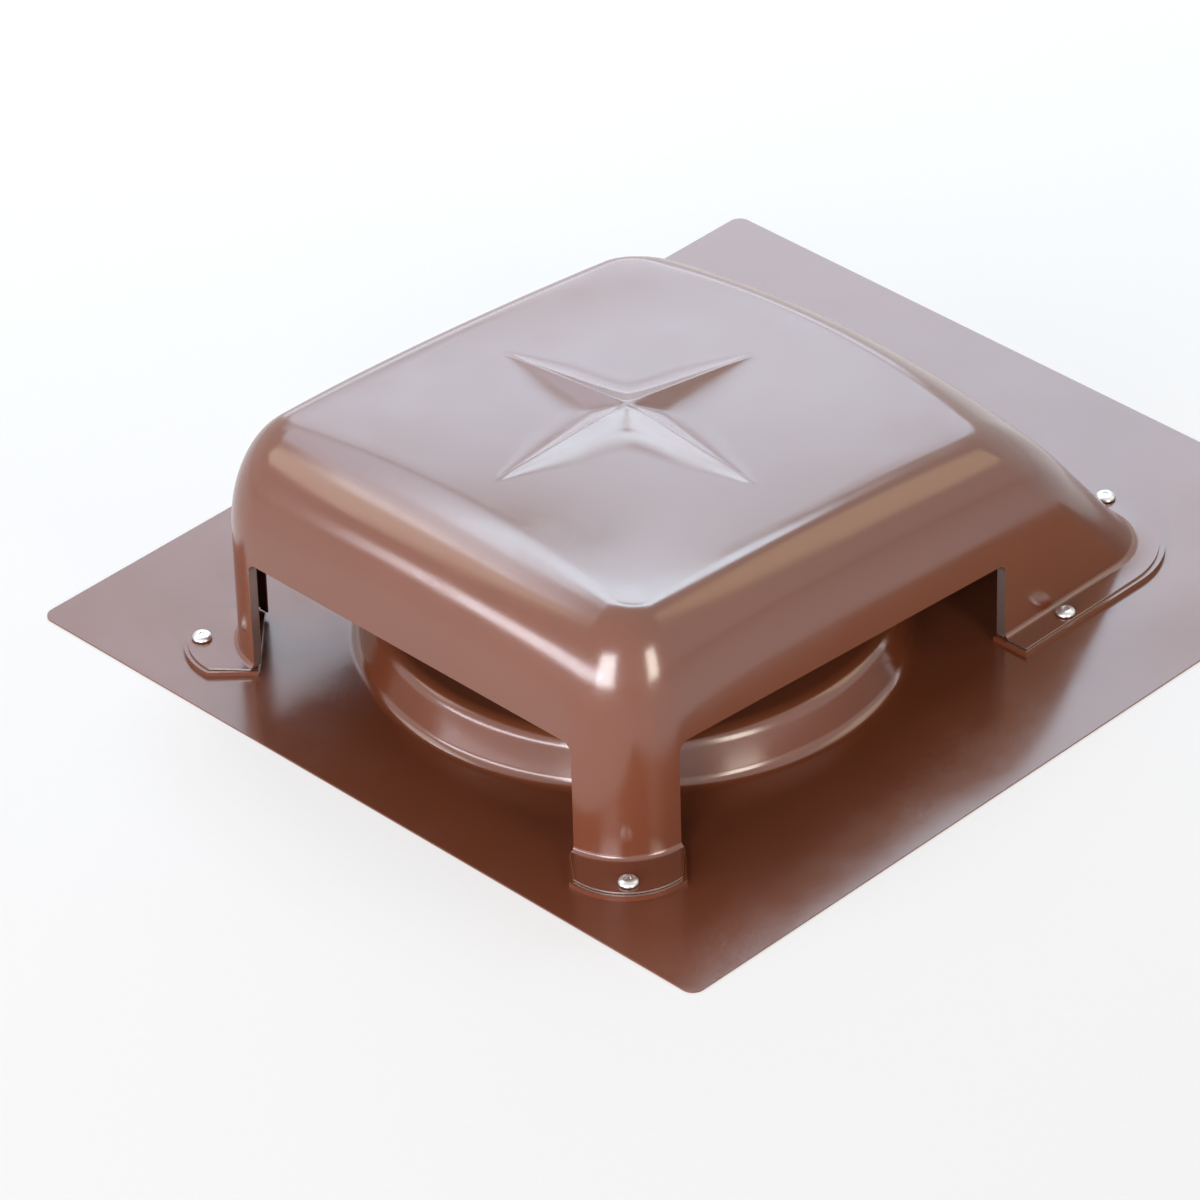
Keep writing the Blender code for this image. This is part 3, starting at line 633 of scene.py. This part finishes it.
def drawn_hood(enamel, shaded_backer, bare_edge):
    """The deep-drawn sheet: star, crowned top, rolls, skirt, legs, slant back and turned foot."""
    mesh = bmesh.new()
    outer = hood_skin(mesh, 0)
    faces_outside = len(mesh.faces)
    inner = hood_skin(mesh, SHEET)
    # The inner faces take the reverse-side coat, whose black-brown is painted shade.
    for face in list(mesh.faces)[faces_outside:]:
        face.material_index = 1
    skin(mesh, outer, inner)
    hood = new_piece("drawn_hood", mesh, enamel, shaded_backer)

    trim = bmesh.new()
    add_prism(trim, foot_trim(), 0, 150 * MM)
    boolean(hood, new_piece("trim", trim, bare_edge), "INTERSECT")

    lips = bmesh.new()
    buried, foot = SHEET / 2, FOOT_UNDERSIDE + SHEET / 2
    front_lip = front_opening(foot, SHEET)
    add_prism(lips, front_lip, HOOD_FRONT + buried, HOOD_FRONT + LIP_DEPTH, "Y")
    for side in (-1, 1):
        inner, outer = side * (SIDE_FACE - LIP_DEPTH), side * (SIDE_FACE - buried)
        add_prism(lips, side_opening(foot, SHEET), inner, outer, "X")
    boolean(hood, new_piece("lips", lips, enamel), "UNION")

    cuts = bmesh.new()
    reach = 2 * FOOT_REACH
    add_prism(cuts, front_opening(0), HOOD_FRONT - reach, HOOD_FRONT + 2 * LIP_DEPTH, "Y")
    for side in (-1, 1):
        inner, outer = side * (SIDE_FACE - 2 * LIP_DEPTH), side * (SIDE_FACE + reach)
        add_prism(cuts, side_opening(0), inner, outer, "X")
    for centre in hood_rivet_places().values():
        add_prism(cuts, rivet_hole(centre, HOOD_RIVET_HOLE), SEAT_TOP, FOOT_TOP + SHEET)
    boolean(hood, new_piece("cuts", cuts, bare_edge), "DIFFERENCE")
    shade(hood)
    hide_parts("hood")
    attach(hood, "root")
    return hood


# The flashing

def pressed_flashing(enamel):
    """The flat flange with its drawn collar, the throat in it, and the raised seats."""
    mesh = bmesh.new()
    corner = FLANGE_CORNER
    half, end = FLANGE_WIDTH / 2, FLANGE_LENGTH / 2
    edge = rounded_ring(half, -end, end, corner, corner, THROAT_Y)
    foot_steps, shoulder_steps = COLLAR_STEPS
    faces = []
    for sheet in (0, SHEET):
        foot, shoulder = COLLAR_FOOT + sheet, COLLAR_SHOULDER - sheet
        wall = COLLAR_RADIUS - sheet
        low, high = wall + foot + COLLAR_LEAN, wall - shoulder - COLLAR_LEAN
        # A flat ring just outside the foot keeps the flange's own shading level.
        profile = [(low + COLLAR_MARGIN, SHEET - sheet)]
        profile += arc((low, SHEET - sheet + foot), foot, 270, 180 + COLLAR_DRAFT, foot_steps)
        top = (high, COLLAR_TOP - sheet - shoulder)
        profile += arc(top, shoulder, COLLAR_DRAFT, 90, shoulder_steps)
        profile.append((THROAT_RADIUS, COLLAR_TOP - sheet))
        outlines = [[Vector((x, y, SHEET - sheet)) for x, y in edge]]
        for radius, height in profile:
            outlines.append([Vector((x, y, height)) for x, y in circle_ring(radius)])
        rings = [[mesh.verts.new(point) for point in line] for line in outlines]
        for outer, inner in zip(rings, rings[1:]):
            skin(mesh, outer, inner)
        faces.append(rings)
    skin(mesh, faces[0][0], faces[1][0])
    skin(mesh, faces[0][-1], faces[1][-1])
    flashing = new_piece("pressed_flashing", mesh, enamel)

    seats, hollows = bmesh.new(), bmesh.new()
    inside = SEAT_MARGIN - SHEET
    for outer, inner in (
        (tongue_outline(SEAT_MARGIN, -1), tongue_outline(inside, -1)),
        (tongue_outline(SEAT_MARGIN), tongue_outline(inside)),
        (back_seat(SEAT_MARGIN), back_seat(inside)),
    ):
        add_prism(seats, outer, SHEET / 2, SEAT_TOP)
        add_prism(hollows, inner, -SHEET, SEAT_RISE)
    for centre in hood_rivet_places().values():
        outline = rivet_hole(centre, HOOD_RIVET_HOLE)
        add_prism(hollows, outline, SEAT_RISE - SHEET / 2, SEAT_TOP + SHEET)
    for centre in screen_rivet_places().values():
        outline = rivet_hole(centre, SCREEN_RIVET_HOLE)
        add_prism(hollows, outline, SCREEN_UNDERSIDE, COLLAR_TOP + SHEET)
    boolean(flashing, new_piece("seats", seats, enamel), "UNION")
    boolean(flashing, new_piece("hollows", hollows, enamel), "DIFFERENCE")
    shade(flashing)
    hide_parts("base_flashing")
    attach(flashing, "root")
    return flashing


# The insect screen

WIRE_PITCH = 3.2 * MM
WIRE_RADIUS = 0.3 * MM


def woven_wires(mesh, along_x):
    """Plain-weave wires one way: each rises over one crossing wire and dips under the next."""
    level = (SCREEN_TOP + SCREEN_UNDERSIDE) / 2
    clear = THROAT_RADIUS + 3 * MM
    count = int(clear / WIRE_PITCH)
    for i in range(-count, count + 1):
        offset = i * WIRE_PITCH
        last = int(math.sqrt(max(0, clear**2 - offset**2)) / WIRE_PITCH)
        if last < 1:
            continue
        before = None
        for j in range(-last, last + 1):
            rise = WIRE_RADIUS * (1 if (i + j + along_x) % 2 else -1) * 0.95
            along = j * WIRE_PITCH
            ring = []
            for a in (0, 90, 180, 270):
                across = WIRE_RADIUS * math.cos(math.radians(a))
                up = WIRE_RADIUS * math.sin(math.radians(a)) + rise
                place = (along, offset + across) if along_x else (offset + across, along)
                ring.append(mesh.verts.new((place[0], THROAT_Y + place[1], level + up)))
            if before:
                skin(mesh, before, ring)
            else:
                mesh.faces.new(ring)
            before = ring
        mesh.faces.new(before[::-1])


def insect_screen(wire):
    """Woven wire inside a flat pressed rim, which is riveted up under the collar's plateau."""
    mesh = bmesh.new()
    woven_wires(mesh, 1)
    woven_wires(mesh, 0)
    woven = new_piece("woven_screen", mesh, wire)
    shade(woven, 60)

    rim = bmesh.new()
    outer = [circle_ring(SCREEN_RADIUS), circle_ring(SCREEN_RADIUS)]
    inner = [circle_ring(THROAT_RADIUS - SCREEN_RIM_LAP), circle_ring(THROAT_RADIUS - SCREEN_RIM_LAP)]
    rings = []
    for outline, level in (
        (outer[0], SCREEN_TOP),
        (inner[0], SCREEN_TOP),
        (inner[1], SCREEN_UNDERSIDE),
        (outer[1], SCREEN_UNDERSIDE),
    ):
        rings.append([rim.verts.new((x, y, level)) for x, y in outline])
    for lower, upper in zip(rings, rings[1:] + rings[:1]):
        skin(rim, lower, upper)
    frame_ring = new_piece("screen_rim", rim, wire)
    holes = bmesh.new()
    for centre in screen_rivet_places().values():
        outline = rivet_hole(centre, SCREEN_RIVET_HOLE)
        add_prism(holes, outline, SCREEN_UNDERSIDE - SHEET, SCREEN_TOP + SHEET)
    boolean(frame_ring, new_piece("holes", holes, wire), "DIFFERENCE")
    shade(frame_ring)
    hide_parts("insect_screen")
    for piece in (woven, frame_ring):
        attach(piece, "root")


# The rivets

def blind_rivet(name, centre, sizes, metal):
    """A set blind rivet: low dome, the broken mandrel in its dimple, shank and upset tail."""
    shank, head, head_height, tail, tail_height, grip_low, grip_high = sizes
    crown = grip_high + head_height
    dimple = shank * 0.5
    profile = [
        (0, crown - head_height * 0.1),
        (dimple * 0.62, crown - head_height * 0.12),
        (dimple * 0.7, crown - head_height * 0.3),
        (dimple * 0.98, crown - head_height * 0.3),
        (dimple, crown - head_height * 0.04),
        (dimple * 1.15, crown),
    ]
    for i in range(1, 9):
        turned = math.radians(90 - 90 * i / 8)
        spread = dimple * 1.15 + (head - dimple * 1.15) * math.cos(turned)
        profile.append((spread, grip_high + head_height * (0.18 + 0.82 * math.sin(turned))))
    profile += [
        (head * 0.985, grip_high + head_height * 0.05),
        (head * 0.95, grip_high),
        (shank, grip_high),
        (shank, grip_low),
        (tail * 0.96, grip_low),
        (tail, grip_low - tail_height * 0.3),
        (tail * 0.85, grip_low - tail_height),
        (0, grip_low - tail_height),
    ]
    mesh = bmesh.new()
    points = [mesh.verts.new((radius, 0, height)) for radius, height in profile]
    edges = [mesh.edges.new(pair) for pair in zip(points, points[1:])]
    bmesh.ops.spin(
        mesh,
        geom=points + edges,
        cent=(0, 0, 0),
        axis=(0, 0, 1),
        angle=2 * math.pi,
        steps=40,
        use_merge=True,
    )
    bmesh.ops.remove_doubles(mesh, verts=mesh.verts, dist=0.01 * MM)
    bmesh.ops.translate(mesh, verts=mesh.verts, vec=(*centre, 0))
    rivet = new_piece(f"set_{name}", mesh, metal)
    shade(rivet, 40)
    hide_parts(name)
    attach(rivet, "root")


def all_rivets(metal):
    hood_sizes = [2.4, 4.6, 2.6, 4.0, 1.2, 1.9, 4.4]
    screen_sizes = [1.6, 3.0, 1.4, 3.0, 0.9, 20.9, 23.6]
    for places, sizes in ((hood_rivet_places(), hood_sizes), (screen_rivet_places(), screen_sizes)):
        for name, centre in places.items():
            blind_rivet(name, centre, [size * MM for size in sizes], metal)


# The studio, in metres

FLOOR_SIDE, FLOOR_LEVEL, FLOOR_WHITENING = 12, -0.0002, 0.6
CEILING, LAMP_DISTANCE = 1.3, 1.9
VENT_MIDDLE = Vector((0, -0.04, 0.08))


def background_rays(tree):
    """One for rays that show the background, to the eye, in gloss and through glass, else zero."""
    ray = add_node(tree, "ShaderNodeLightPath")
    shown = add_node(tree, "ShaderNodeMath", {"operation": "MAXIMUM"})
    tree.links.new(ray.outputs["Is Camera Ray"], shown.inputs[0])
    tree.links.new(ray.outputs["Is Glossy Ray"], shown.inputs[1])
    passed = add_node(tree, "ShaderNodeMath", {"operation": "MAXIMUM"})
    tree.links.new(shown.outputs[0], passed.inputs[0])
    tree.links.new(ray.outputs["Is Transmission Ray"], passed.inputs[1])
    return passed.outputs[0]


def studio_floor():
    """A pale seamless sheet under the vent, whitened to the eye, which keeps its soft shadow."""
    made, tree, place = start_finish("pale_paper_sweep")
    # Paper tooth of about 3 mm, barely there.
    tooth = add_node(tree, "ShaderNodeTexNoise", inputs={"Vector": place, "Scale": 330, "Detail": 2})
    tone = add_node(tree, "ShaderNodeMix", {"data_type": "RGBA"}, {"Factor": tooth.outputs["Fac"]})
    tone.inputs["A"].default_value = paint_colour("#EBE3DE")
    tone.inputs["B"].default_value = paint_colour("#F0E9E4")
    matt = add_node(
        tree,
        "ShaderNodeBsdfPrincipled",
        inputs={"Base Color": tone.outputs["Result"], "Roughness": 0.9, "Specular IOR Level": 0.1},
    )
    white = add_node(tree, "ShaderNodeEmission", inputs={"Color": (1, 1, 1, 1), "Strength": 1})
    share = add_node(tree, "ShaderNodeMath", {"operation": "MULTIPLY"})
    tree.links.new(background_rays(tree), share.inputs[0])
    share.inputs[1].default_value = FLOOR_WHITENING
    whitened = add_node(tree, "ShaderNodeMixShader", inputs={"Fac": share.outputs[0]})
    tree.links.new(matt.outputs[0], whitened.inputs[1])
    tree.links.new(white.outputs[0], whitened.inputs[2])
    end_finish(tree, whitened)
    mesh = bmesh.new()
    half = FLOOR_SIDE / 2
    corners = [(-half, -half), (half, -half), (half, half), (-half, half)]
    mesh.faces.new([mesh.verts.new((x, y, FLOOR_LEVEL)) for x, y in corners])
    floor = new_piece("studio_floor", mesh, made)


def studio_world():
    """An even pale room: plain white to the eye and in gloss, dimmer as light on the vent."""
    world = bpy.data.worlds.new("pale_room")
    bpy.context.scene.world = world
    world.use_nodes = True
    tree = world.node_tree
    tree.nodes.clear()
    grey = {"Color": paint_colour("#F2F4F8"), "Strength": 0.04}
    lit = add_node(tree, "ShaderNodeBackground", inputs=grey)
    plain = {"Color": (1, 1, 1, 1), "Strength": 1}
    white = add_node(tree, "ShaderNodeBackground", inputs=plain)
    mixed = add_node(tree, "ShaderNodeMixShader", inputs={"Fac": background_rays(tree)})
    tree.links.new(lit.outputs[0], mixed.inputs[1])
    tree.links.new(white.outputs[0], mixed.inputs[2])
    add_node(tree, "ShaderNodeOutputWorld", inputs={"Surface": mixed.outputs[0]})


def soft_box(name, place, width, height, radiance, colour):
    """A rectangular soft box that faces the vent. Its radiance is its brightness in a mirror."""
    light = bpy.data.lights.new(name, "AREA")
    light.shape = "RECTANGLE"
    light.size, light.size_y = width, height
    light.energy = radiance * math.pi * width * height
    light.color = paint_colour(colour)[:3]
    lamp = bpy.data.objects.new(name, light)
    bpy.context.scene.collection.objects.link(lamp)
    towards = VENT_MIDDLE - place
    lamp.matrix_world = Matrix.Translation(place) @ towards.to_track_quat("-Z", "Y").to_matrix().to_4x4()
    return lamp


def overhead(name, left, right, front, back, radiance, colour, turn=0):
    """A soft box laid flat under the ceiling, given by its edges before it is turned."""
    place = Vector(((left + right) / 2, (front + back) / 2, CEILING))
    lamp = soft_box(name, place, right - left, back - front, radiance, colour)
    lamp.matrix_world = Matrix.Translation(place) @ Matrix.Rotation(math.radians(turn), 4, "Z")


def around(name, azimuth, elevation, width, height, radiance, colour):
    """A soft box round the vent, placed by its bearing from the front and its height in degrees."""
    a, e = math.radians(azimuth), math.radians(elevation)
    way = Vector((math.sin(a) * math.cos(e), -math.cos(a) * math.cos(e), math.sin(e)))
    soft_box(name, VENT_MIDDLE + LAMP_DISTANCE * way, width, height, radiance, colour)


def studio_lights():
    # The broad bank over the back left: what the flat top mirrors.
    overhead("sky_bank", -2.6, -0.9, 1.22, 2.9, 3.4, "#CDE2F8")
    # Its dim near parts: the star's shaded faces, and the flange's left end.
    overhead("shade_bank", -1.42, -0.97, -0.3, 0.9, 2.6, "#CBE4FF")
    overhead("flange_bank", -1.95, -1.42, 0.2, 1.2, 1.2, "#DCE8FF")
    # A low bank behind, on the left: the star's far faces and the top's back edge.
    around("low_bank", -133, 8.5, 1.3, 0.5, 2.4, "#D7E8FF")
    # The bright strip beside it: the cool band on the front roll.
    overhead("roll_bank", -0.95, -0.62, -0.2, 1.14, 6.8, "#D7EEFF")
    # A diagonal strip over the vent: the star's lit faces and the right-hand roll's edge.
    overhead("star_bank", -0.8, 0.14, 0.38, 0.66, 8, "#D7EEFF", 45)
    # Its dimmer near end, where the cool band fades into the brown.
    overhead("roll_fade", -1.15, -0.65, -0.75, -0.2, 3.9, "#E4F0FF")
    # A small bank behind the vent: the light line along the right-hand edge of the top.
    overhead("edge_bank", -0.62, 0.02, 0.78, 1.16, 7, "#D7EEFF")
    # A dim card at the front left: the sheen along the skirt's upper edge.
    around("skirt_card", -54, 38, 0.75, 0.8, 2.0, "#FFF0DC")
    # The long low strip and the upright box in front: the line at the skirt's shoulder, which
    # thickens into the corner's highlight.
    around("front_strip", -8, 10, 2.0, 0.36, 7.8, "#F2F1FA")
    around("front_box", 27, 16, 0.66, 0.9, 11, "#F6F4F8")
    # A narrow upright strip on the right: the corner's second highlight.
    around("right_strip", 83, 14, 0.48, 0.85, 8.5, "#FFF6E8")
    # A warm card behind, on the right: the tan band along the right-hand roll.
    around("tan_card", 146, 33, 0.75, 0.95, 1.25, "#FFE0A8")


# Bearing, height and roll of the camera, and its distance from the target.
VIEW_DEGREES = (45.271, 35.134, -1.619)
VIEW_DISTANCE = 3.1148
SENSOR_WIDTH, FOCAL_PIXELS, FRAME_PIXELS = 36, 6986, 1200


def studio_camera():
    """The photograph's view: a long lens, 35 degrees up, off the right front corner."""
    azimuth, elevation, roll = [math.radians(angle) for angle in VIEW_DEGREES]
    back = Vector(
        (
            math.sin(azimuth) * math.cos(elevation),
            -math.cos(azimuth) * math.cos(elevation),
            math.sin(elevation),
        )
    )
    right = (-back).cross(Vector((0, 0, 1))).normalized()
    up = right.cross(-back)
    turned_right = math.cos(roll) * right + math.sin(roll) * up
    turned_up = -math.sin(roll) * right + math.cos(roll) * up
    target = Vector((-0.0082, HOOD_FRONT + 0.127, SHEET + 0.0172))
    data = bpy.data.cameras.new("photo_camera")
    data.sensor_width = SENSOR_WIDTH
    data.lens = SENSOR_WIDTH * FOCAL_PIXELS / FRAME_PIXELS
    data.clip_start, data.clip_end = 0.1, 50
    camera = bpy.data.objects.new("photo_camera", data)
    turn = Matrix((turned_right, turned_up, back)).transposed().to_4x4()
    camera.matrix_world = Matrix.Translation(target + back * VIEW_DISTANCE) @ turn
    bpy.context.scene.collection.objects.link(camera)
    bpy.context.scene.camera = camera


# Everything in its place

enamel = roller_coated_enamel()
drawn_hood(enamel, shade_painted_backer(), sheared_aluminium())
pressed_flashing(enamel)
insect_screen(woven_aluminium())
all_rivets(headed_aluminium())
studio_floor()
studio_world()
studio_lights()
studio_camera()
bpy.context.scene.view_settings.view_transform = "Standard"
